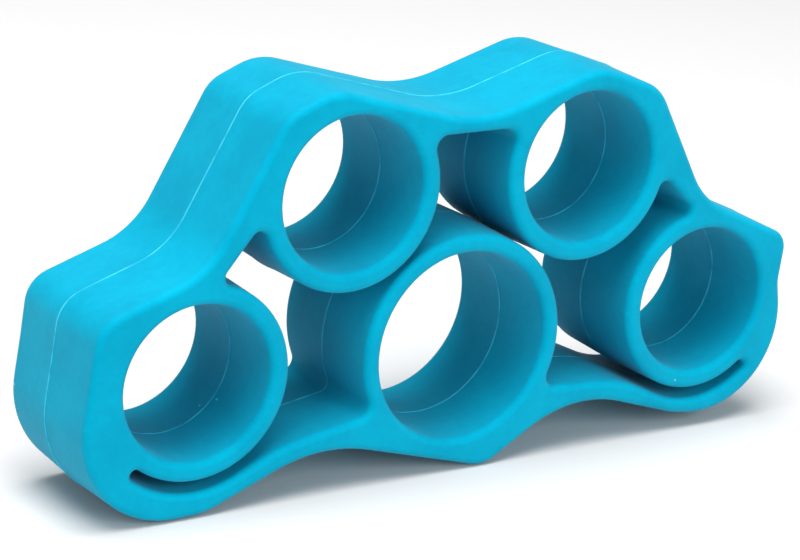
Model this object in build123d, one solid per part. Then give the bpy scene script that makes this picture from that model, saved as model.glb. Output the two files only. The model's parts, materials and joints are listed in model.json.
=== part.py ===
from build123d import *
import os
from math import acos, atan2, cos, degrees, hypot, pi, radians, sin, tan

os.makedirs("parts", exist_ok=True)

# Moulded silicone finger exerciser. Millimetres, +Z up, X along the row of finger loops,
# Y through the bores, origin under the middle of the standing part.

# ---- driving dimensions -------------------------------------------------------------
depth = 17.6            # front face to back face
finger_r = 8.6          # bore radius of the four finger loops
finger_wall = 2.4       # wall of a finger loop
thumb_r = 10.8          # bore radius of the thumb loop
thumb_wall = 2.2        # wall of the thumb loop
thumb_floor = 3.9       # rubber under the thumb bore
thumb_gap = 0.5         # open gap between the thumb loop and each upper finger loop
fan_deg = 51.1          # direction from the thumb loop to an upper finger loop
side_gap = 9.3          # open gap between the thumb loop and each outer finger loop, along X
band = 3.0              # thickness of the straps under the outer loops
strap_mid = 2.5         # thickness of a strap above the hollow of the outline
slit = 1.1              # slot between an outer finger loop and the strap below it
lift_right = 0.8        # how much higher the right outer loop sits than the left one
mid_x = 0.52            # the thumb loop's place along X, which centres the whole part on the origin
edge_r = 0.9            # rounding of every front and back edge

# ---- corners of the outer outline: outwards and up from a loop's centre, rounding radius ----
drawn_ring = 11.0                   # outside radius of a finger loop that these offsets are drawn for
drawn_lobe = 15.1                   # radius to the underside of a strap that the lobes are drawn for
drawn_web_right = 135.08            # direction from the outer to the upper loop, right side
drawn_web_left = 133.82             # the same on the left side, mirrored
keel_at = (3.9, 4.0)                # along X, and radius; its height follows from the ground
trough_at_right = (0.48, 15.5)      # hollow between keel and right lobe: share of outer_x, radius
trough_at_left = (0.53, 18.0)       # hollow between left lobe and keel: share of outer_x, radius
crown_room_right = 0.1429           # from the strap's top over the hollow to the slot's outer edge
crown_room_left = 0.204             # the same on the left side
lobe_in_right = (-2.8, -13.8, 9.0)
lobe_out_right = (14.8, -16.4, 11.0)
wall_right = (11.8, 0.9, 5.0)
tip_right = (12.4, 6.5, 2.5)
dip_right = (-0.8, 12.3, 10.0)
lobe_in_left = (-1.3, -15.0, 9.0)
lobe_out_left = (15.0, -15.2, 11.0)
wall_left = (12.7, 1.7, 5.0)
tip_left = (12.0, 8.0, 4.0)
dip_left = (-0.5, 12.3, 10.0)
shoulder_right = (9.3, 8.4, 5.5)
peak_right = (0.6, 11.5, 7.0)
shoulder_left = (8.8, 9.3, 4.5)
peak_left = (3.0, 11.8, 7.0)
top_dip = (0.4, 6.6, 16.0)          # hollow between the upper loops, above their centres' height

# ---- corners of the inner opening: direction from a loop's centre, radius ----
crotch_deg, crotch_r = -21.7, 1.2   # thumb loop meets a strap
notch_out_deg = 108.5               # outer loop meets the side web
notch_up_deg = -18.7                # upper loop meets the side web
notch_r = 0.9
pocket_deg, pocket_r = 160.9, 1.3   # upper loop meets the top web
slit_end_deg = -52.6                # end of the slot, seen from the outer loop's centre
foot_deg = -80.0                    # the strap is kept rigid as far as this direction
foot_in_deg = -140.0                # inner end of the rigid strap's top line
core_w = 0.9                        # length kept rigid in the middle of a web
core_at = 0.5                       # where that length sits between an outer loop (0) and an upper one (1)
edge_share = 0.48                   # most of a wall's thickness that the rounding of one edge may take

# ---- derived positions --------------------------------------------------------------
half = depth / 2
rf = finger_r + finger_wall
rt = thumb_r + thumb_wall
thumb_z = thumb_floor + thumb_r
outer_x = rt + rf + side_gap
outer_z = band + slit + rf
reach = rt + rf + thumb_gap
upper_x = reach * cos(radians(fan_deg))
upper_z = thumb_z + reach * sin(radians(fan_deg))

E0 = (mid_x, thumb_z)
A0 = (mid_x - outer_x, outer_z)
B0 = (mid_x - upper_x, upper_z)
C0 = (mid_x + upper_x, upper_z)
D0 = (mid_x + outer_x, outer_z + lift_right)
CENTRES = {
    "finger_loop_1": A0,
    "finger_loop_2": B0,
    "finger_loop_3": C0,
    "finger_loop_4": D0,
    "thumb_loop": E0,
}
RIGHT, LEFT = 1, -1
MARGIN = 2.0            # how far cutting solids stand proud of the faces
NEAR = 1e-4             # shorter legs than this are left out


def polar(c, r, deg, side=RIGHT):
    """Point at a distance and direction from c; on the left side the direction is mirrored."""
    return (c[0] + side * r * cos(radians(deg)), c[1] + r * sin(radians(deg)))


def corner(c, offset, side=RIGHT, scale=1.0, turn=0.0):
    """Outline corner given outwards and up from c; the offset grows and turns with the loops."""
    far = hypot(offset[0], offset[1]) * scale
    x, z = polar(c, far, degrees(atan2(offset[1], offset[0])) + turn, side)
    return (x, z, offset[2])


def unit(a, b):
    d = hypot(b[0] - a[0], b[1] - a[1])
    return ((b[0] - a[0]) / d, (b[1] - a[1]) / d)


def corner_arc(p, c, n, r):
    """Tangent points, middle and centre of the arc that rounds corner c between p and n."""
    a, b = unit(c, p), unit(c, n)
    angle = acos(max(-1.0, min(1.0, a[0] * b[0] + a[1] * b[1])))
    t = r / tan(angle / 2)
    s = (c[0] + a[0] * t, c[1] + a[1] * t)
    e = (c[0] + b[0] * t, c[1] + b[1] * t)
    m = unit((0, 0), (a[0] + b[0], a[1] + b[1]))
    centre = (c[0] + m[0] * r / sin(angle / 2), c[1] + m[1] * r / sin(angle / 2))
    middle = (centre[0] - m[0] * r, centre[1] - m[1] * r)
    return s, middle, e, centre


def to3(p):
    return Vector(p[0], 0, p[1])


def arc(a, m, b):
    return Edge.make_three_point_arc(to3(a), to3(m), to3(b))


def legs_of(points):
    """Straight edges through points, leaving out any that are too short."""
    pairs = zip(points, points[1:])
    return [Edge.make_line(to3(p), to3(q)) for p, q in pairs if hypot(q[0] - p[0], q[1] - p[1]) > NEAR]


def rounded_face(corners):
    """Face in the XZ plane from a closed list of (x, z, radius) corners."""
    n = len(corners)
    arcs = [corner_arc(corners[i - 1], corners[i], corners[(i + 1) % n], corners[i][2]) for i in range(n)]
    edges = []
    for i in range(n):
        s, m, e, _ = arcs[i]
        edges.append(arc(s, m, e))
        edges += legs_of([e, arcs[(i + 1) % n][0]])
    return Face(Wire(edges))


def tangent(c1, r1, s1, c2, r2, s2):
    """Leaving point on circle 1 and arriving point on circle 2; s is +1 anticlockwise, -1 clockwise."""
    dx, dz = c2[0] - c1[0], c2[1] - c1[1]
    k = max(-1.0, min(1.0, (s1 * r1 - s2 * r2) / hypot(dx, dz)))
    phi = atan2(dz, dx) - acos(k)
    p = (c1[0] + s1 * r1 * cos(phi), c1[1] + s1 * r1 * sin(phi))
    q = (c2[0] + s2 * r2 * cos(phi), c2[1] + s2 * r2 * sin(phi))
    if hypot(q[0] - p[0], q[1] - p[1]) < NEAR:
        q = p
    return p, q


def belt_face(pulleys):
    """Face bounded by a belt led round circles ((x, z), radius, turn)."""
    n = len(pulleys)
    legs = [tangent(*pulleys[i], *pulleys[(i + 1) % n]) for i in range(n)]
    edges = []
    for i in range(n):
        c, r, s = pulleys[i]
        a = legs[i - 1][1]
        b = legs[i][0]
        start = atan2(a[1] - c[1], a[0] - c[0])
        sweep = (atan2(b[1] - c[1], b[0] - c[0]) - start) * s % (2 * pi)
        middle = start + s * sweep / 2
        edges.append(arc(a, (c[0] + r * cos(middle), c[1] + r * sin(middle)), b))
        edges += legs_of(legs[i])
    return Face(Wire(edges))


# ---- how the corners follow the loops ---------------------------------------------------
ring_scale = rf / drawn_ring
lobe_scale = (rf + slit + band) / drawn_lobe
turn_right = degrees(atan2(C0[1] - D0[1], C0[0] - D0[0])) - drawn_web_right
turn_left = degrees(atan2(B0[1] - A0[1], A0[0] - B0[0])) - drawn_web_left

# ---- outer outline, from the keel round to the right; the keel just touches the ground --------
lobe_r = corner(D0, lobe_in_right, RIGHT, lobe_scale)
lobe_l = corner(A0, lobe_in_left, LEFT, lobe_scale)
trough_right = (mid_x + trough_at_right[0] * outer_x, band + strap_mid, trough_at_right[1])
trough_left = (mid_x - trough_at_left[0] * outer_x, band + strap_mid, trough_at_left[1])
keel_r = keel_at[1]
keel = (mid_x + keel_at[0], 0.0, keel_r)


def settled(trough, before, after, outer, room):
    """The hollow's corner at the height where the strap over it clears the slot by the room."""
    centre = corner_arc(before, trough, after, trough[2])[3]
    gap = hypot(centre[0] - outer[0], centre[1] - outer[1]) - (trough[2] + strap_mid) - (rf + slit)
    return (trough[0], trough[1] + gap - room, trough[2])


for _ in range(60):
    low = corner_arc(trough_left, keel, trough_right, keel_r)[3][1] - keel_r
    keel = (keel[0], keel[1] - low, keel_r)
    trough_right = settled(trough_right, keel, lobe_r, D0, crown_room_right)
    trough_left = settled(trough_left, lobe_l, keel, A0, crown_room_left)

outline = [
    keel,
    trough_right,
    lobe_r,
    corner(D0, lobe_out_right, RIGHT, lobe_scale),
    corner(D0, wall_right, RIGHT, ring_scale),
    corner(D0, tip_right, RIGHT, ring_scale),
    corner(D0, dip_right, RIGHT, ring_scale, turn_right),
    corner(C0, shoulder_right, RIGHT, ring_scale, turn_right),
    corner(C0, peak_right, RIGHT, ring_scale),
    (mid_x + top_dip[0], upper_z + top_dip[1] * ring_scale, top_dip[2]),
    corner(B0, peak_left, LEFT, ring_scale),
    corner(B0, shoulder_left, LEFT, ring_scale, turn_left),
    corner(A0, dip_left, LEFT, ring_scale, turn_left),
    corner(A0, tip_left, LEFT, ring_scale),
    corner(A0, wall_left, LEFT, ring_scale),
    corner(A0, lobe_out_left, LEFT, lobe_scale),
    lobe_l,
    trough_left,
]

# ---- inner opening: one connected void round the loops --------------------------------------
bump_right = corner_arc(keel, trough_right, outline[2], trough_right[2])[3]
bump_left = corner_arc(outline[-2], trough_left, keel, trough_left[2])[3]


def inner_corners(outer, upper, side, turn):
    """Centres of the opening's small corners on one side; the notches turn with the web."""
    return {
        "crotch": polar(E0, rt + crotch_r, crotch_deg, side),
        "slit_end": polar(outer, rf + slit / 2, slit_end_deg, side),
        "notch_out": polar(outer, rf + notch_r, notch_out_deg + turn, side),
        "notch_up": polar(upper, rf + notch_r, notch_up_deg + turn, side),
        "pocket": polar(upper, rf + pocket_r, pocket_deg, side),
    }


at_right = inner_corners(D0, C0, RIGHT, turn_right)
at_left = inner_corners(A0, B0, LEFT, turn_left)

void = [
    (at_right["crotch"], crotch_r, 1),
    (bump_right, trough_right[2] + strap_mid, -1),
    (D0, rf + slit, 1),
    (at_right["slit_end"], slit / 2, 1),
    (D0, rf, -1),
    (at_right["notch_out"], notch_r, 1),
    (at_right["notch_up"], notch_r, 1),
    (C0, rf, -1),
    (at_right["pocket"], pocket_r, 1),
    (at_left["pocket"], pocket_r, 1),
    (B0, rf, -1),
    (at_left["notch_up"], notch_r, 1),
    (at_left["notch_out"], notch_r, 1),
    (A0, rf, -1),
    (at_left["slit_end"], slit / 2, 1),
    (A0, rf + slit, 1),
    (bump_left, trough_left[2] + strap_mid, -1),
    (at_left["crotch"], crotch_r, 1),
    (E0, rt, -1),
]


def prism(face, reach_y):
    """Solid from an XZ face, the same distance to the front and to the back."""
    return Solid.extrude(face.moved(Location((0, -reach_y, 0))), Vector(0, 2 * reach_y, 0))


def cylinder(c, r):
    """Cutting cylinder through the whole depth."""
    far = half + MARGIN
    return Solid.make_cylinder(r, 2 * far, Plane(origin=(c[0], far, c[1]), z_dir=(0, -1, 0)))


outside, inside = rounded_face(outline), belt_face(void)
moulding = prism(outside, half) - prism(inside, half + MARGIN)
for name, c in CENTRES.items():
    moulding = moulding - cylinder(c, thumb_r if name == "thumb_loop" else finger_r)

# a rounded edge may take nearly half of the thinnest wall between the outline, the opening and the bores
walls = [outside.outer_wire().distance_to(inside.outer_wire()), finger_wall, thumb_wall]
for name, c in CENTRES.items():
    bore = thumb_r if name == "thumb_loop" else finger_r
    walls.append(outside.outer_wire().distance_to(Vertex(c[0], 0, c[1])) - bore)
rim_r = min(edge_r, edge_share * min(walls))

body = moulding.solids()[0]
rims = [e for e in body.edges() if abs(abs(e.center().Y) - half) < NEAR]
body = body.fillet(rim_r, rims)

# ---- cuts between the loops and the stretching band --------------------------------------
BEYOND = 9.0            # a cut runs this far, past the outside
slot_r = rf + slit / 2


def region(points, middle=None):
    """Cutting prism over a closed polygon; the closing side is an arc through middle if one is given."""
    closing = [arc(points[-1], middle, points[0])] if middle else legs_of([points[-1], points[0]])
    return prism(Face(Wire(legs_of(points) + closing)), half + MARGIN)


def between(c1, c2):
    """Region between two cuts."""
    return region([c1[0], c1[1], c2[1], c2[0]])


def side_cuts(at, side, turn):
    """Four cuts across the side web, from the outer loop up to the upper loop."""
    low, high = at["notch_out"], at["notch_up"]
    ux, uz = unit(low, high)
    span = hypot(high[0] - low[0], high[1] - low[1])
    out = degrees(atan2(-ux * side, uz))
    cuts = [(low, polar(low, BEYOND, notch_out_deg + turn - 90, side))]
    for shift in (-core_w / 2, core_w / 2):
        along = span * core_at + shift
        p = (low[0] + ux * along, low[1] + uz * along)
        cuts.append((p, polar(p, BEYOND, out, side)))
    cuts.append((high, polar(high, BEYOND, notch_up_deg + turn + 90, side)))
    return cuts


def top_cuts(at, side):
    """Two cuts across the top web: at the pocket's corner and at the core."""
    p = at["pocket"]
    c = (mid_x + side * core_w / 2, p[1])
    return (p, polar(p, BEYOND, pocket_deg - 90, side)), (c, (c[0], c[1] + BEYOND))


def neck_region(c, side):
    """Stretching part of a strap, between the rigid foot and the end of the slot."""
    a, b = polar(c, slot_r, foot_deg, side), polar(c, slot_r, slit_end_deg, side)
    m = polar(c, slot_r, (foot_deg + slit_end_deg) / 2, side)
    far_a = polar(c, slot_r + BEYOND, foot_deg, side)
    far_b = polar(c, slot_r + BEYOND, slit_end_deg, side)
    return region([b, far_b, far_a, a], m)


def strap_region(c, at, side):
    """Rigid part of a strap, from the thumb loop's corner to the foot below an outer loop."""
    x, z = at["crotch"]
    a, b = polar(c, slot_r, foot_deg, side), polar(c, slot_r, foot_in_deg, side)
    m = polar(c, slot_r, (foot_deg + foot_in_deg) / 2, side)
    far_a = polar(c, slot_r + BEYOND, foot_deg, side)
    return region([b, ((x + b[0]) / 2, z), (x, z), (x, z - slot_r - BEYOND), far_a, a], m)


side_r, side_l = side_cuts(at_right, RIGHT, turn_right), side_cuts(at_left, LEFT, turn_left)
top_r, top_l = top_cuts(at_right, RIGHT), top_cuts(at_left, LEFT)
regions = {
    "neck_side_4": between(side_r[0], side_r[1]),
    "web_core_34": between(side_r[1], side_r[2]),
    "neck_side_3": between(side_r[2], side_r[3]),
    "neck_side_1": between(side_l[0], side_l[1]),
    "web_core_12": between(side_l[1], side_l[2]),
    "neck_side_2": between(side_l[2], side_l[3]),
    "neck_top_3": between(top_r[0], top_r[1]),
    "web_core_23": between(top_r[1], top_l[1]),
    "neck_top_2": between(top_l[1], top_l[0]),
    "strap_right": strap_region(D0, at_right, RIGHT),
    "neck_strap_4": neck_region(D0, RIGHT),
    "strap_left": strap_region(A0, at_left, LEFT),
    "neck_strap_1": neck_region(A0, LEFT),
}

nodes = {}
loops = body
for name, cut in regions.items():
    nodes[name] = body & cut
    loops = loops - cut

for solid in loops.solids():
    c = solid.center()
    name = min(CENTRES, key=lambda k: hypot(c.X - CENTRES[k][0], c.Z - CENTRES[k][1]))
    assert name not in nodes, name
    nodes[name] = solid

total = 0.0
for name in sorted(nodes):
    pieces = nodes[name].solids()
    assert len(pieces) == 1, (name, len(pieces))
    total += pieces[0].volume
    export_step(pieces[0], f"parts/{name}.step")
    b = pieces[0].bounding_box()
    print(name, round(pieces[0].volume, 1), [round(v, 2) for v in (b.min.X, b.max.X, b.min.Z, b.max.Z)])

box = body.bounding_box()
print("nodes", len(nodes), "pieces", round(total, 2), "moulding", round(body.volume, 2))
print("troughs", round(trough_right[1], 4), round(trough_left[1], 4), "keel", round(keel[1], 4))
print("rim", round(rim_r, 3), "walls", [round(w, 2) for w in walls])
print("size", [round(v, 2) for v in (box.size.X, box.size.Y, box.size.Z)])
print("x", round(box.min.X, 3), round(box.max.X, 3), "bottom", round(box.min.Z, 4))
print("centres", {k: (round(v[0], 3), round(v[1], 3)) for k, v in CENTRES.items()})
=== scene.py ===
# %% [markdown]
# # A moulded silicone finger exerciser
# The object is one piece of soft silicone: a thumb loop in the middle, four finger loops fanned
# round it, and a wavy outer band that holds them together. This lesson builds it in the space of
# its CAD model, which is loaded first and never moved. Everything after that is measured from it.

# %% Load the frame and remember its box
import json
import math

import bmesh
import bpy
import numpy as np
from mathutils import Matrix, Vector
from mathutils.geometry import delaunay_2d_cdt


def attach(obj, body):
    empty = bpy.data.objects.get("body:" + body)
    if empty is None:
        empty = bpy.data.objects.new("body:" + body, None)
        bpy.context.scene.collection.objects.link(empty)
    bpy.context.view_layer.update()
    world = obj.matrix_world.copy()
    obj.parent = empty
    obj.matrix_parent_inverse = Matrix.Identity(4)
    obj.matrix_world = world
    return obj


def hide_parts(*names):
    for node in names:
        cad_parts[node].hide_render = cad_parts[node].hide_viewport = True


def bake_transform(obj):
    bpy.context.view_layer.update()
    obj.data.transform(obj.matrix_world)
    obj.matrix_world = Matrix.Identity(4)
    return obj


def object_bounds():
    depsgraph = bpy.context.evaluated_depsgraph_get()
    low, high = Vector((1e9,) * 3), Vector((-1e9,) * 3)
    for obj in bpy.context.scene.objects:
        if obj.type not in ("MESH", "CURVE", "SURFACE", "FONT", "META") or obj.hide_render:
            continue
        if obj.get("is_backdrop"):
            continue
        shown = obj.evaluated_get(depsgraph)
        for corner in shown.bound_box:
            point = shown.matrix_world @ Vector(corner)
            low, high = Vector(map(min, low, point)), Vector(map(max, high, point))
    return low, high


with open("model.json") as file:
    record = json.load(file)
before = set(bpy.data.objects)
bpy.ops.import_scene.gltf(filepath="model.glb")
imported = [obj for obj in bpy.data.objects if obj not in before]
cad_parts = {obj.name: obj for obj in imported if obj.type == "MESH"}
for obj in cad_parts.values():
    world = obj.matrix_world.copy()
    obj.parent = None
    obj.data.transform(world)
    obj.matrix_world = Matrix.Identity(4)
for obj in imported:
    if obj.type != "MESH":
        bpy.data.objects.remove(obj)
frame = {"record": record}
cad_low, cad_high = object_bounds()
MM = 0.001
print("CAD box, mm:", [round(v / MM, 2) for v in (*cad_low, *cad_high)])

# %% [markdown]
# ## Where the camera stands
# Small goods are usually shot with a long lens, so that their far side doesn't shrink much. The
# camera stands low at the front left and is held slightly rolled. Its place is worked out from a
# turn, a height and a distance round a point near the middle of the part, because those three are
# easier to think about than raw coordinates.

# %% The camera
turn, height, roll = math.radians(33.785), math.radians(18.009), math.radians(3.706)
distance, focal = 0.3116, 125.58
middle = (Vector(cad_low) + Vector(cad_high)) / 2
aim = middle + Vector((-2.83, 0, -2.33)) * MM
flat_back = math.cos(height)
back = Vector((-math.sin(turn) * flat_back, -math.cos(turn) * flat_back, math.sin(height)))
level = Vector((math.cos(turn), -math.sin(turn), 0))
upright = back.cross(level)
right = level * math.cos(roll) + upright * math.sin(roll)
up = upright * math.cos(roll) - level * math.sin(roll)

lens = bpy.data.cameras.new("long_lens")
lens.lens, lens.sensor_width = focal, 36
lens.clip_start, lens.clip_end = 0.01, 20
camera = bpy.data.objects.new("camera", lens)
facing = Matrix((right, up, back)).transposed().to_4x4()
camera.matrix_world = Matrix.Translation(aim + back * distance) @ facing
bpy.context.scene.collection.objects.link(camera)
bpy.context.scene.camera = camera
print("camera at, mm:", [round(v / MM, 1) for v in camera.matrix_world.translation])

# %% [markdown]
# ## Floor and light
# A plain pale floor and big soft lamps are the classic small-product set. The largest lamp hangs
# above, because the tops of the waves are the brightest faces. One of about half its power in
# front lights the front face, and a faint one on the left brings out the outer wall. The room
# itself glows a little, so no shadow is black. Colours are shown as they are, without a film look.

# %% A floor and three soft lamps
bpy.context.scene.view_settings.view_transform = "Standard"


def lamp(name, place, size, watts):
    """A square soft lamp that looks at the middle of the part."""
    data = bpy.data.lights.new(name, "AREA")
    data.shape, data.size, data.energy = "SQUARE", size, watts
    made = bpy.data.objects.new(name, data)
    made.location = Vector(place)
    made.rotation_mode = "QUATERNION"
    made.rotation_quaternion = (middle - made.location).to_track_quat("-Z", "Y")
    bpy.context.scene.collection.objects.link(made)
    return made


lamps = [
    lamp("lamp_above", (-0.10, -0.05, 0.75), 0.60, 9.0),
    lamp("lamp_left", (-0.70, -0.25, 0.30), 0.45, 1.2),
    lamp("lamp_front", (0.10, -0.80, 0.35), 0.50, 4.2),
]
room = bpy.data.worlds.new("pale_room")
room.use_nodes = True
room.node_tree.nodes["Background"].inputs["Color"].default_value = (1, 1, 1, 1)
room.node_tree.nodes["Background"].inputs["Strength"].default_value = 0.26
bpy.context.scene.world = room

bpy.ops.mesh.primitive_plane_add(size=6)
floor = bpy.context.object
floor.name = "pale_floor"
paper = bpy.data.materials.new("floor_paper")
paper.use_nodes = True
paper.node_tree.nodes["Principled BSDF"].inputs["Base Color"].default_value = (0.66, 0.66, 0.66, 1)
paper.node_tree.nodes["Principled BSDF"].inputs["Roughness"].default_value = 0.9
floor.data.materials.append(paper)
floor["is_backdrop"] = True
print("lamps:", len(lamps), "floor:", floor.name)

# %% [markdown]
# ## The sizes that drive the shape
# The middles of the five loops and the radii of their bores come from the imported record. What is
# left is what a mould maker would write on the drawing: wall thicknesses, the slot under each
# outer loop, and the corners of the outline with their rounding radii. All are in millimetres,
# seen from the front, with x to the right and z up.

# %% Loops and walls
bores = {m["name"]: m for m in frame["record"]["mounts"] if m["kind"] == "bore"}


def middle_of(name):
    place = bores[name]["pos_m"]
    return (place[0] / MM, place[2] / MM)


outer_left, upper_left, upper_right, outer_right = (middle_of(f"bore_finger_{i}") for i in (1, 2, 3, 4))
thumb = middle_of("bore_thumb")
finger_bore = bores["bore_finger_1"]["dims"]["r_mm"]
thumb_bore = bores["bore_thumb"]["dims"]["r_mm"]
finger_ring = finger_bore + 2.4      # outside radius of a finger loop
thumb_ring = thumb_bore + 2.2        # outside radius of the thumb loop
strap_mid = 2.5                      # strap thickness above the hollows of the outline
slot = 1.1                           # slot between an outer loop and its strap
crotch_r, notch_r, pocket_r = 1.2, 0.9, 1.3    # radii of the opening's small corners
half_depth = (cad_high[1] - cad_low[1]) / 2 / MM
mid_x = thumb[0]
span = (outer_right[0] - outer_left[0]) / 2
RIGHT, LEFT = 1, -1
print("half depth", round(half_depth, 2), "rings", finger_ring, thumb_ring, "span", round(span, 2))

# %% [markdown]
# ## Smooth closed lines
# The outline is a polygon with every corner rounded by an arc. The opening inside is easier to
# describe as a belt led round pulleys: it goes round the outside of each loop and turns back in
# the small corners between them. Both become closed rows of points, close together on tight turns.

# %% Points along arcs and legs
SPACING = 0.7                        # longest step between points, mm
TURN = math.radians(9)               # largest turn between points
TOO_CLOSE = 0.03                     # points nearer than this are merged, mm


def polar(centre, radius, degrees, side=RIGHT):
    """Point at a distance and direction; on the left side the direction is mirrored."""
    a = math.radians(degrees)
    return (centre[0] + side * radius * math.cos(a), centre[1] + radius * math.sin(a))


def unit(a, b):
    d = math.dist(a, b)
    return ((b[0] - a[0]) / d, (b[1] - a[1]) / d)


def arc(centre, radius, start, sweep):
    """Points along an arc, both ends included."""
    n = max(3, math.ceil(abs(sweep) * radius / SPACING), math.ceil(abs(sweep) / TURN))
    angles = [start + sweep * i / n for i in range(n + 1)]
    return [(centre[0] + radius * math.cos(a), centre[1] + radius * math.sin(a)) for a in angles]


def leg(a, b):
    """Points between a and b, without the ends."""
    n = math.ceil(math.dist(a, b) / SPACING)
    return [(a[0] + (b[0] - a[0]) * i / n, a[1] + (b[1] - a[1]) * i / n) for i in range(1, n)]


def closed(arcs):
    """One closed row of points from arcs joined by straight legs."""
    row = []
    for i, piece in enumerate(arcs):
        row += piece + leg(piece[-1], arcs[(i + 1) % len(arcs)][0])
    return [p for i, p in enumerate(row) if math.dist(p, row[i - 1]) > TOO_CLOSE]


print("steps of at most", SPACING, "mm and", round(math.degrees(TURN)), "degrees")


# %% Rounded corners and belts
def rounding(before, tip, after, radius):
    """Centre, start angle and sweep of the arc that rounds one corner."""
    a, b = unit(tip, before), unit(tip, after)
    angle = math.acos(max(-1.0, min(1.0, a[0] * b[0] + a[1] * b[1])))
    t, out = radius / math.tan(angle / 2), radius / math.sin(angle / 2)
    m = unit((0, 0), (a[0] + b[0], a[1] + b[1]))
    centre = (tip[0] + m[0] * out, tip[1] + m[1] * out)
    start = math.atan2(tip[1] + a[1] * t - centre[1], tip[0] + a[0] * t - centre[0])
    end = math.atan2(tip[1] + b[1] * t - centre[1], tip[0] + b[0] * t - centre[0])
    return centre, start, (end - start + math.pi) % (2 * math.pi) - math.pi


def belt(pulleys):
    """Closed row of points of a belt led round (centre, radius, turn); turn 1 is anticlockwise."""
    angles = []
    for (c1, r1, s1), (c2, r2, s2) in zip(pulleys, pulleys[1:] + pulleys[:1]):
        k = max(-1.0, min(1.0, (s1 * r1 - s2 * r2) / math.dist(c1, c2)))
        angles.append(math.atan2(c2[1] - c1[1], c2[0] - c1[0]) - math.acos(k))
    arcs = []
    for i, (centre, radius, turning) in enumerate(pulleys):
        flip = 0 if turning > 0 else math.pi
        start, end = angles[i - 1] + flip, angles[i] + flip
        arcs.append(arc(centre, radius, start, turning * ((end - start) * turning % (2 * math.pi))))
    return closed(arcs)


_, _, square_turn = rounding((0, 10), (0, 0), (10, 0), 2.0)
print("the rounding of a square corner turns", round(math.degrees(abs(square_turn))), "degrees")

# %% [markdown]
# ## The outline
# Each corner is given outwards and up from the loop that it belongs to. The two sides differ a
# little, as rubber straight from a mould does: the right end sits higher and has a sharper
# shoulder. The small keel under the thumb loop is lowered until it just touches the floor.


# %% The rounded outline
def corner(centre, out, rise, radius, side=RIGHT):
    return (centre[0] + side * out, centre[1] + rise, radius)


trough_right = (mid_x + 0.48 * span, 6.8, 15.5)
trough_left = (mid_x - 0.53 * span, 5.8, 18.0)
keel = (mid_x + 3.9, 0.0, 4.0)
for _ in range(8):
    centre, _, _ = rounding(trough_left[:2], keel[:2], trough_right[:2], keel[2])
    keel = (keel[0], keel[1] - (centre[1] - keel[2]), keel[2])

corners = [
    keel,
    trough_right,
    corner(outer_right, -2.8, -13.8, 9.0),
    corner(outer_right, 14.8, -16.4, 11.0),
    corner(outer_right, 11.8, 0.9, 5.0),
    corner(outer_right, 12.4, 6.5, 2.5),
    corner(outer_right, -0.8, 12.3, 10.0),
    corner(upper_right, 9.3, 8.4, 5.5),
    corner(upper_right, 0.6, 11.5, 7.0),
    (mid_x + 0.4, upper_right[1] + 6.6, 16.0),
    corner(upper_left, 3.0, 11.8, 7.0, LEFT),
    corner(upper_left, 8.8, 9.3, 4.5, LEFT),
    corner(outer_left, -0.5, 12.3, 10.0, LEFT),
    corner(outer_left, 12.0, 8.0, 4.0, LEFT),
    corner(outer_left, 12.7, 1.7, 5.0, LEFT),
    corner(outer_left, 15.0, -15.2, 11.0, LEFT),
    corner(outer_left, -1.3, -15.0, 9.0, LEFT),
    trough_left,
]
roundings = [
    (*rounding(corners[i - 1][:2], c[:2], corners[(i + 1) % len(corners)][:2], c[2]), c[2])
    for i, c in enumerate(corners)
]
outline = closed([arc(centre, radius, start, sweep) for centre, start, sweep, radius in roundings])
print("outline:", len(outline), "points, lowest", round(min(p[1] for p in outline), 3))

# %% [markdown]
# ## The opening between the loops
# Seen from the front, the empty space is one connected shape: slots under the outer loops, a gap
# on each side of the thumb loop, and a pocket above it. Its small round corners are what a cutter
# leaves in a steel mould, and they also stop the rubber from tearing there.

# %% The belt round the loops, and the five bores
slot_line = finger_ring + slot / 2
SLOT_END = -52.6                     # direction in which a slot ends, seen from the outer loop


def small_corners(outer, upper, side):
    """Centres of the opening's small corners on one side, each in its own direction from a loop."""
    return {
        "crotch": polar(thumb, thumb_ring + crotch_r, -21.7, side),
        "slot_end": polar(outer, slot_line, SLOT_END, side),
        "notch_low": polar(outer, finger_ring + notch_r, 108.5, side),
        "notch_high": polar(upper, finger_ring + notch_r, -18.7, side),
        "pocket": polar(upper, finger_ring + pocket_r, 160.9, side),
    }


at = {
    RIGHT: small_corners(outer_right, upper_right, RIGHT),
    LEFT: small_corners(outer_left, upper_left, LEFT),
}
opening = belt([
    (at[RIGHT]["crotch"], crotch_r, 1),
    (roundings[1][0], trough_right[2] + strap_mid, -1),
    (outer_right, finger_ring + slot, 1),
    (at[RIGHT]["slot_end"], slot / 2, 1),
    (outer_right, finger_ring, -1),
    (at[RIGHT]["notch_low"], notch_r, 1),
    (at[RIGHT]["notch_high"], notch_r, 1),
    (upper_right, finger_ring, -1),
    (at[RIGHT]["pocket"], pocket_r, 1),
    (at[LEFT]["pocket"], pocket_r, 1),
    (upper_left, finger_ring, -1),
    (at[LEFT]["notch_high"], notch_r, 1),
    (at[LEFT]["notch_low"], notch_r, 1),
    (outer_left, finger_ring, -1),
    (at[LEFT]["slot_end"], slot / 2, 1),
    (outer_left, finger_ring + slot, 1),
    (roundings[-1][0], trough_left[2] + strap_mid, -1),
    (at[LEFT]["crotch"], crotch_r, 1),
    (thumb, thumb_ring, -1),
])
finger_middles = (outer_left, upper_left, upper_right, outer_right)
circles = [arc(c, finger_bore, 0, 2 * math.pi)[:-1] for c in finger_middles]
circles.append(arc(thumb, thumb_bore, 0, 2 * math.pi)[:-1])
print("opening:", len(opening), "points, bores:", [len(c) for c in circles])

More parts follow.
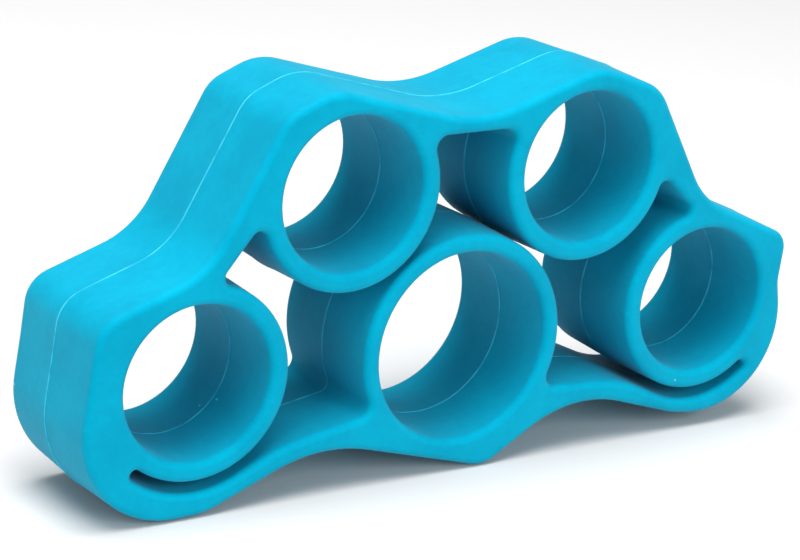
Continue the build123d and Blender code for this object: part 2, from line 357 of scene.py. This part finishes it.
# %% [markdown]
# ## The skin from front to back
# A moulded wall isn't straight. It leans a little towards the parting line at half depth, so that
# the part comes out of the mould, its front and back edges are rounded, and where the two mould
# halves meet a thin ridge of flash is left. So every closed line is repeated at many depths, each
# time pulled in or let out by the amount below. The ridge's height wanders along the line.

# %% Depths and offsets of the skin
EDGE = 0.85                          # rounding of the front and back edges, mm
LEAN = 0.22                          # how much the wall gives from half depth to the edge
PIVOT = 0.6                          # share of the way to the edge where the wall is at its line
FLASH = 0.07                         # mean height of the ridge at the parting line
RIDGE = 0.11                         # how far the ridge spreads to each side, mm
flat = half_depth - EDGE
edge_angles = [math.radians(a) for a in (90, 76, 62, 48, 34, 20, 8, 0)]
wall_depths = [flat * s for s in (0.78, 0.52, 0.28, 0.12)] + [0.34, 0.17, 0.08]


def wall_offset(y):
    """How far the wall lies inside its nominal line, without the ridge."""
    return LEAN * (y / flat - PIVOT)


def ridge(y):
    """Shape of the flash across the parting line, 1 at its crest."""
    return math.exp(-((y / RIDGE) ** 2))


# a row: depth, offset, share of the ridge, and how far the surface has turned towards the front
rim = wall_offset(flat)
rows = [(-flat - EDGE * math.sin(a), rim + EDGE * (1 - math.cos(a)), 0.0, a) for a in edge_angles]
rows += [(-y, wall_offset(y), ridge(y), 0.0) for y in wall_depths]
rows += [(0.0, wall_offset(0.0), 1.0, 0.0)]
rows += [(-y, offset, crest, a) for y, offset, crest, a in reversed(rows[:-1])]
print("rows:", len(rows), "wall at half depth stands out", round(-wall_offset(0.0), 3), "mm")

# %% One wall of skin along a closed line
chance = np.random.default_rng(7)


def wander(count):
    """Seeded unevenness round a closed line: mostly near 1, with a few higher stretches."""
    s = np.linspace(0, 2 * math.pi, count, endpoint=False)
    waves = [(1, 0.16), (3, 0.14), (7, 0.16), (19, 0.14), (43, 0.12)]
    swell = sum(size * np.sin(n * s + chance.uniform(0, 6.28)) for n, size in waves)
    return np.clip(1 + swell, 0.25, 1.5)


def wall_of(line, air):
    """Points and normals of the skin along a line; air is 1 with the air on the right, or -1."""
    p = np.array(line)
    ahead, behind = np.roll(p, -1, axis=0) - p, p - np.roll(p, 1, axis=0)
    way = ahead / np.linalg.norm(ahead, axis=1)[:, None]
    way = way + behind / np.linalg.norm(behind, axis=1)[:, None]
    way /= np.linalg.norm(way, axis=1)[:, None]
    out = air * np.stack([way[:, 1], -way[:, 0]], axis=1)
    flash = FLASH * wander(len(p))
    points, normals = [], []
    for y, offset, crest, angle in rows:
        inset = (offset - flash * crest)[:, None]
        q = p - out * inset
        lean = np.sign(y) * LEAN / flat if angle == 0.0 else 0.0
        slope = lean + flash * crest * 2 * y / RIDGE**2
        side = np.sign(y) * math.sin(angle) + slope * math.cos(angle)
        n = np.stack([out[:, 0] * math.cos(angle), side, out[:, 1] * math.cos(angle)], axis=1)
        points.append(np.stack([q[:, 0], np.full(len(p), y), np.maximum(q[:, 1], 0.0)], axis=1))
        normals.append(n / np.linalg.norm(n, axis=1)[:, None])
    return np.array(points), np.array(normals)


walls = [wall_of(outline, 1), wall_of(opening, -1)] + [wall_of(c, -1) for c in circles]
print("skin points:", sum(w[0].shape[0] * w[0].shape[1] for w in walls))

# %% [markdown]
# ## Closing the skin into one body
# The walls are grids of four-sided faces. The flat front and back are filled with triangles
# between the outline, the opening and the bores. The result is a single watertight skin, as the
# real part is a single moulding.

# %% Join the walls
first = np.cumsum([0] + [w[0].shape[0] * w[0].shape[1] for w in walls])
points = np.concatenate([w[0].reshape(-1, 3) for w in walls])
normals = np.concatenate([w[1].reshape(-1, 3) for w in walls])
faces, flat_points, flat_edges, flat_index = [], [], [], []
for start, (grid, _) in zip(first, walls):
    count = grid.shape[1]
    for r in range(len(rows) - 1):
        for i in range(count):
            j = (i + 1) % count
            low = start + r * count
            faces.append((low + i, low + j, low + count + j, low + count + i))
    begin = len(flat_points)
    flat_points += [Vector((x, z)) for x, _, z in grid[0]]
    flat_edges += [(begin + i, begin + (i + 1) % count) for i in range(count)]
    flat_index += [(int(start) + i, int(start) + (len(rows) - 1) * count + i) for i in range(count)]

print("faces of the walls:", len(faces))

# %% Fill the two flat faces
CLOSE = 1e-7                         # points nearer than this count as one in the filling
filled = delaunay_2d_cdt(flat_points, flat_edges, [], 1, CLOSE)
source = [origin[0] for origin in filled[3]]
ring_ends = np.array([(flat_points[i][:], flat_points[j][:]) for i, j in flat_edges])


def in_rubber(x, z):
    """True where a line to the right crosses the closed lines an odd number of times."""
    (ax, az), (bx, bz) = ring_ends[:, 0].T, ring_ends[:, 1].T
    rising = (az > z) != (bz > z)
    crossing = ax[rising] + (z - az[rising]) * (bx[rising] - ax[rising]) / (bz[rising] - az[rising])
    return (crossing > x).sum() % 2 == 1


triangles = [f for f in filled[2] if in_rubber(*np.mean([filled[0][v][:] for v in f], axis=0))]
for end in (0, 1):
    faces += [tuple(flat_index[source[v]][end] for v in f) for f in triangles]

print("triangles in each flat face:", len(triangles))

# %% The closed skin
skin = bpy.data.meshes.new("skin")
skin.from_pydata([tuple(p * MM) for p in points], [], [tuple(int(v) for v in f) for f in faces])
skin.attributes.new("skin_normal", "FLOAT_VECTOR", "POINT").data.foreach_set("vector", normals.ravel())
body = bmesh.new()
body.from_mesh(skin)
bmesh.ops.recalc_face_normals(body, faces=body.faces)
open_edges = sum(1 for e in body.edges if len(e.link_faces) != 2)
print("faces:", len(body.faces), "open edges:", open_edges)
print("volume, mm3:", round(body.calc_volume() / MM**3))

# %% [markdown]
# ## Pieces for the moving model
# In use the fingers pull the loops away from the thumb, and the rubber between them stretches.
# The frame models that with four sliding loops, so the one skin is cut where the stretch happens:
# each loop, short necks where it stretches, and the parts that stay. A neck takes in a little of
# its loop. Each cut is a flat plane, and both sides keep the same points and the same shading, so
# no line shows at rest.

# %% Where the skin is cut
REACH_SIDE = 4.0                     # how far a side neck runs into each loop, mm
REACH_TOP = 3.5                      # how far a top neck runs into its loop
CORE = 0.25                          # half length of the part that stays in the middle of a web
STRAP_RUN = 6.5                      # how far a strap's neck runs back under its loop
FOOT = -80                           # direction in which a strap's foot lies, from the outer loop
BELOW = 2                            # a strap lies more than this below the middle of its loop
STAND_OUT = 0.5                      # a wall stands out from its line by less than this
strap_way = 90 + (SLOT_END + FOOT) / 2   # direction of the strap between its foot and the slot's end
print("a strap's neck runs at", round(strap_way, 1), "degrees")


# %% Measuring lines on each side
class Side:
    """Measuring lines on one side of the part: along the side web, and along the strap."""

    def __init__(self, side, outer, upper, numbers):
        self.side, self.outer, self.upper, self.numbers = side, outer, upper, numbers
        self.low, high = at[side]["notch_low"], at[side]["notch_high"]
        self.web = unit(self.low, high)
        self.web_length = math.dist(self.low, high)
        self.out = (side * self.web[1], -side * self.web[0])
        self.out = self.out if self.out[0] * side > 0 else (-self.out[0], -self.out[1])
        self.along = unit((0, 0), polar((0, 0), 1, strap_way, side))
        self.slot_end = self.strap(at[side]["slot_end"])
        self.crotch = side * (at[side]["crotch"][0] - mid_x)
        self.pocket = side * (at[side]["pocket"][0] - mid_x)

    def web_place(self, p):
        """How far p lies along the side web from the outer loop's notch, and how far outwards."""
        d = (p[0] - self.low[0], p[1] - self.low[1])
        return d[0] * self.web[0] + d[1] * self.web[1], d[0] * self.out[0] + d[1] * self.out[1]

    def strap(self, p):
        """How far p lies along the strap's neck, from the middle of the outer loop."""
        return (p[0] - self.outer[0]) * self.along[0] + (p[1] - self.outer[1]) * self.along[1]

    def piece(self, p):
        """Name of the piece that a point in the rubber belongs to."""
        x, z = self.side * (p[0] - mid_x), p[1]
        to_outer, to_upper = math.dist(p, self.outer), math.dist(p, self.upper)
        outer_no, upper_no = self.numbers
        strap = self.strap(p)
        if to_outer > slot_line and z < self.outer[1] - BELOW and strap < self.slot_end:
            if x > self.crotch and strap > -STRAP_RUN:
                return f"neck_strap_{outer_no}"
            if x > self.crotch:
                return "strap_right" if self.side == RIGHT else "strap_left"
        a, b = self.web_place(p)
        half = self.web_length / 2
        to_thumb = math.dist(p, thumb) - thumb_ring
        on_outer = to_outer - finger_ring < STAND_OUT
        on_upper = to_upper - finger_ring < min(STAND_OUT, to_thumb)
        if (b > 0 or on_outer) and -REACH_SIDE < a < half - CORE:
            return f"neck_side_{outer_no}"
        if b > 0 and abs(a - half) <= CORE:
            return "web_core_34" if self.side == RIGHT else "web_core_12"
        if (b > 0 or on_upper) and half + CORE < a < self.web_length + REACH_SIDE:
            return f"neck_side_{upper_no}"
        over_pocket = z > at[self.side]["pocket"][1]
        if z > self.upper[1] - finger_ring and (over_pocket or on_upper):
            if x < CORE:
                return "web_core_23"
            if x < self.pocket + REACH_TOP:
                return f"neck_top_{upper_no}"
        gaps = {
            f"finger_loop_{outer_no}": to_outer - finger_ring,
            f"finger_loop_{upper_no}": to_upper - finger_ring,
            "thumb_loop": to_thumb,
        }
        return min(gaps, key=gaps.get)


sides = {
    RIGHT: Side(RIGHT, outer_right, upper_right, (4, 3)),
    LEFT: Side(LEFT, outer_left, upper_left, (1, 2)),
}


def piece_at(x, z):
    return sides[RIGHT if x >= mid_x else LEFT].piece((x, z))


print("the rubber under the thumb bore belongs to", piece_at(mid_x, (thumb[1] - thumb_bore) / 2))

# %% The planes of the cuts
LOOP_AREA, WEB_AREA, TOP_AREA, STRAP_AREA, CROTCH_AREA = 16, 9, 8, 11, 7     # radii of the areas, mm


def cuts_of(side, s):
    """Cuts on one side: a point on the plane, its normal, and the middle and radius of its area."""
    found = []
    half, end = s.web_length / 2, s.web_length + REACH_SIDE
    for a in (-REACH_SIDE, half - CORE, half + CORE, end):
        p = (s.low[0] + s.web[0] * a, s.low[1] + s.web[1] * a)
        area = {-REACH_SIDE: (s.outer, LOOP_AREA), end: (s.upper, LOOP_AREA)}.get(a, (p, WEB_AREA))
        found.append((p, s.web, *area))
    top = (mid_x, at[side]["pocket"][1])
    for x, *area in ((CORE, top, TOP_AREA), (s.pocket + REACH_TOP, s.upper, LOOP_AREA)):
        found.append(((mid_x + side * x, 0), (1, 0), *area))
    strap_hub = polar(s.outer, slot_line + 2, SLOT_END - 20, side)
    for run in (-STRAP_RUN, s.slot_end):
        p = (s.outer[0] + s.along[0] * run, s.outer[1] + s.along[1] * run)
        found.append((p, s.along, strap_hub, STRAP_AREA))
    crotch = mid_x + side * s.crotch
    return found + [((crotch, 0), (1, 0), (crotch, 6), CROTCH_AREA)]


cuts = [cut for side, s in sides.items() for cut in cuts_of(side, s)]
print("cuts:", len(cuts))

# %% Cut the skin
ON_PLANE = 1e-8                      # points nearer to a cut than this count as on it, m
for p, n, hub, radius in cuts:
    near = []
    for f in body.faces:
        c = f.calc_center_median()
        if math.hypot(c.x / MM - hub[0], c.z / MM - hub[1]) > radius:
            continue
        offs = [(v.co.x / MM - p[0]) * n[0] + (v.co.z / MM - p[1]) * n[1] for v in f.verts]
        if min(offs) < 0 < max(offs):
            near.append(f)
    parts = set(near) | {e for f in near for e in f.edges} | {v for f in near for v in f.verts}
    place, normal = (p[0] * MM, 0, p[1] * MM), (n[0], 0, n[1])
    bmesh.ops.bisect_plane(body, geom=list(parts), dist=ON_PLANE, plane_co=place, plane_no=normal)
groups = {}
for f in body.faces:
    c = f.calc_center_median()
    groups.setdefault(piece_at(c.x / MM, c.z / MM), []).append(f)
print({name: len(found) for name, found in sorted(groups.items())})

# %% Give each piece its own closed mesh
normal_layer = body.verts.layers.float_vector["skin_normal"]


def piece_mesh(name, found):
    """A closed mesh from some faces of the skin: copied as they are, then capped where they were cut."""
    made = bmesh.new()
    copies, shading = {}, {}
    for f in found:
        for v in f.verts:
            if v not in copies:
                copies[v] = made.verts.new(v.co)
                shading[copies[v]] = v[normal_layer].normalized()
        made.faces.new([copies[v] for v in f.verts]).smooth = True
    rims = [e for e in made.edges if len(e.link_faces) == 1]
    caps = set(bmesh.ops.holes_fill(made, edges=rims, sides=0)["faces"])
    bmesh.ops.recalc_face_normals(made, faces=made.faces)
    made.normal_update()
    made.verts.index_update()
    loose = sum(1 for e in made.edges if len(e.link_faces) != 2)
    custom = [tuple(f.normal if f in caps else shading[v]) for f in made.faces for v in f.verts]
    mesh = bpy.data.meshes.new("skin_" + name)
    made.to_mesh(mesh)
    mesh.normals_split_custom_set(custom)
    volume = made.calc_volume() / MM**3
    made.free()
    return mesh, len(caps), loose, volume


pieces = {}
for name, found in sorted(groups.items()):
    mesh, caps, loose, volume = piece_mesh(name, found)
    pieces[name] = bpy.data.objects.new("skin_" + name, mesh)
    bpy.context.scene.collection.objects.link(pieces[name])
    print(name, "caps", caps, "open edges", loose, "volume", round(volume, 1))
body.free()
bpy.data.meshes.remove(skin)

# %% [markdown]
# ## The silicone
# Cured silicone is a soft matte plastic: strong even colour, a very fine grain from the blasted
# mould, wide dull highlights and a faint powdery brightness at grazing angles. The colour varies
# only a little. The light caught by the parting line is a painted highlight, a pale line painted
# into the colour, and a few specks of dust stick to the surface.
# All of it is made from noise in the object's own space, so that the pattern runs on from piece
# to piece. A small class lets the numbers be written as ordinary sums.


# %% A socket that can be added and multiplied
class Signal:
    """A socket on its way to another node; on numbers, + - * / and abs add Math nodes."""

    def __init__(self, finish, socket):
        self.finish, self.socket = finish, socket

    def _sum(self, operation, a, b):
        return self.finish.node("ShaderNodeMath", {"operation": operation}, {0: a, 1: b})

    def __add__(self, other):
        return self._sum("ADD", self, other)

    def __sub__(self, other):
        return self._sum("SUBTRACT", self, other)

    def __mul__(self, other):
        return self._sum("MULTIPLY", self, other)

    def __truediv__(self, other):
        return self._sum("DIVIDE", self, other)

    def __rsub__(self, other):
        return self._sum("SUBTRACT", other, self)

    def __rtruediv__(self, other):
        return self._sum("DIVIDE", other, self)

    def __abs__(self):
        return self.finish.node("ShaderNodeMath", {"operation": "ABSOLUTE"}, {0: self})

    __radd__, __rmul__ = __add__, __mul__


class Finish:
    """A material and the one method that adds any node to it."""

    def __init__(self, name):
        self.material = bpy.data.materials.new(name)
        self.material.use_nodes = True
        self.tree = self.material.node_tree
        self.shader = self.tree.nodes["Principled BSDF"]

    def node(self, kind, settings, inputs, output=0):
        made = self.tree.nodes.new(kind)
        for key, value in settings.items():
            setattr(made, key, value)
        self.feed(made, inputs)
        return Signal(self, made.outputs[output])

    def feed(self, node, inputs):
        for key, value in inputs.items():
            if isinstance(value, Signal):
                self.tree.links.new(value.socket, node.inputs[key])
            else:
                node.inputs[key].default_value = value

    def noise(self, place, scale, detail=2.0, rough=0.5):
        sockets = {"Vector": place, "Scale": scale, "Detail": detail, "Roughness": rough}
        return self.node("ShaderNodeTexNoise", {}, sockets)

    def between(self, value, low, high):
        """0 at low, 1 at high, with a soft start and end."""
        sockets = {"Value": value, "From Min": low, "From Max": high}
        return self.node("ShaderNodeMapRange", {"interpolation_type": "SMOOTHSTEP"}, sockets)

    def mix(self, share, a, b):
        return self.node("ShaderNodeMix", {"data_type": "RGBA"}, {"Factor": share, 6: a, 7: b}, 2)


silicone = Finish("teal_silicone")
print("inputs of the shader:", len(silicone.shader.inputs))

# %% Colour, grain and the painted highlight on the parting line
place = silicone.node("ShaderNodeTexCoord", {}, {}, "Object")
depth_here = silicone.node("ShaderNodeSeparateXYZ", {}, {0: place}, 1)
cloud = silicone.noise(place, 130.0)
mottle = silicone.noise(place, 900.0, 3.0, 0.6)
grain = silicone.noise(place, 4200.0, 2.0, 0.6)
# The mask along the parting line carries a painted highlight in the colour and a smoother roughness.
line_width = FLASH * 2.2 * MM
from_line = abs(depth_here) / line_width
line = silicone.between(from_line, 1.0, 0.25)
broken = silicone.between(silicone.noise(place, 520.0), 0.36, 0.58)
dust_field = silicone.node("ShaderNodeTexVoronoi", {}, {"Vector": place, "Scale": 330.0})
dust_here = silicone.between(silicone.noise(place, 210.0), 0.60, 0.66)
dust = silicone.between(dust_field, 0.055, 0.03) * dust_here

deep, fresh = (0.0002, 0.278, 0.430, 1), (0.0004, 0.328, 0.492, 1)
# The pale line colour is a painted highlight: the light that the parting line catches, painted into the
# colour.
painted_line_highlight, pale_dust = (0.10, 0.62, 0.80, 1), (0.45, 0.75, 0.85, 1)
tone = silicone.between(cloud * 0.55 + mottle * 0.3 + grain * 0.15, 0.34, 0.66)
colour = silicone.mix(tone, deep, fresh)
# Painted highlight along the parting line, broken up by noise.
colour = silicone.mix(line * (broken * 0.45 + 0.2), colour, painted_line_highlight)
colour = silicone.mix(dust * 0.5, colour, pale_dust)

relief = grain * 0.5 + mottle * 0.5
height = silicone.node("ShaderNodeBump", {}, {"Strength": 0.5, "Distance": 0.00003, "Height": relief})
silicone.feed(silicone.shader, {
    "Base Color": colour,
    "Roughness": 0.58 + cloud * 0.06 + grain * 0.08 - line * 0.06,
    "Normal": height,
    "IOR": 1.43,
    "Specular IOR Level": 0.16,
    "Specular Tint": (0.10, 0.85, 1.0, 1),
    "Sheen Weight": 0.07,
    "Sheen Roughness": 0.4,
    "Sheen Tint": (0.75, 0.97, 1.0, 1),
})
for piece in pieces.values():
    piece.data.materials.append(silicone.material)
print("nodes in the silicone:", len(silicone.tree.nodes))

# %% [markdown]
# ## Riding with the frame
# The loops ride on their sliding bodies and the middle of the part on the band. The necks are
# not attached to anything. Each piece stands for the CAD part of its name.


# %% Ride and stand in
def space(p):
    return (p[0] * MM, 0.0, p[1] * MM)


for side, s in sides.items():
    outer_no, upper_no = s.numbers
    half, end_of_web = s.web_length / 2, s.web_length + REACH_SIDE

    def on_web(a):
        return space((s.low[0] + s.web[0] * a, s.low[1] + s.web[1] * a))

    def on_strap(run):
        return space((s.outer[0] + s.along[0] * run, s.outer[1] + s.along[1] * run))

    def on_top(x):
        return space((mid_x + side * x, at[side]["pocket"][1]))

    for name, body_name, start, end in (
        (f"neck_side_{outer_no}", f"finger_{outer_no}", on_web(half - CORE), on_web(-REACH_SIDE)),
        (f"neck_side_{upper_no}", f"finger_{upper_no}", on_web(half + CORE), on_web(end_of_web)),
        (f"neck_top_{upper_no}", f"finger_{upper_no}", on_top(CORE), on_top(s.pocket + REACH_TOP)),
        (f"neck_strap_{outer_no}", f"finger_{outer_no}", on_strap(-STRAP_RUN), on_strap(s.slot_end)),
    ):
        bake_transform(pieces[name])

for name, piece in pieces.items():
    if name.startswith("finger_loop_"):
        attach(piece, name.replace("finger_loop_", "finger_"))
    elif not name.startswith("neck_"):
        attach(piece, "band")
    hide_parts(name)
print("pieces:", len(pieces))

# %% [markdown]
# ## The size
# The visible model stands a little proud of the CAD box: here by the lean of the walls and by the
# flash. Both boxes are printed.

# %% Sizes and the end
low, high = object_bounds()
print("visual box, mm:", [round(v / MM, 2) for v in (*low, *high)])
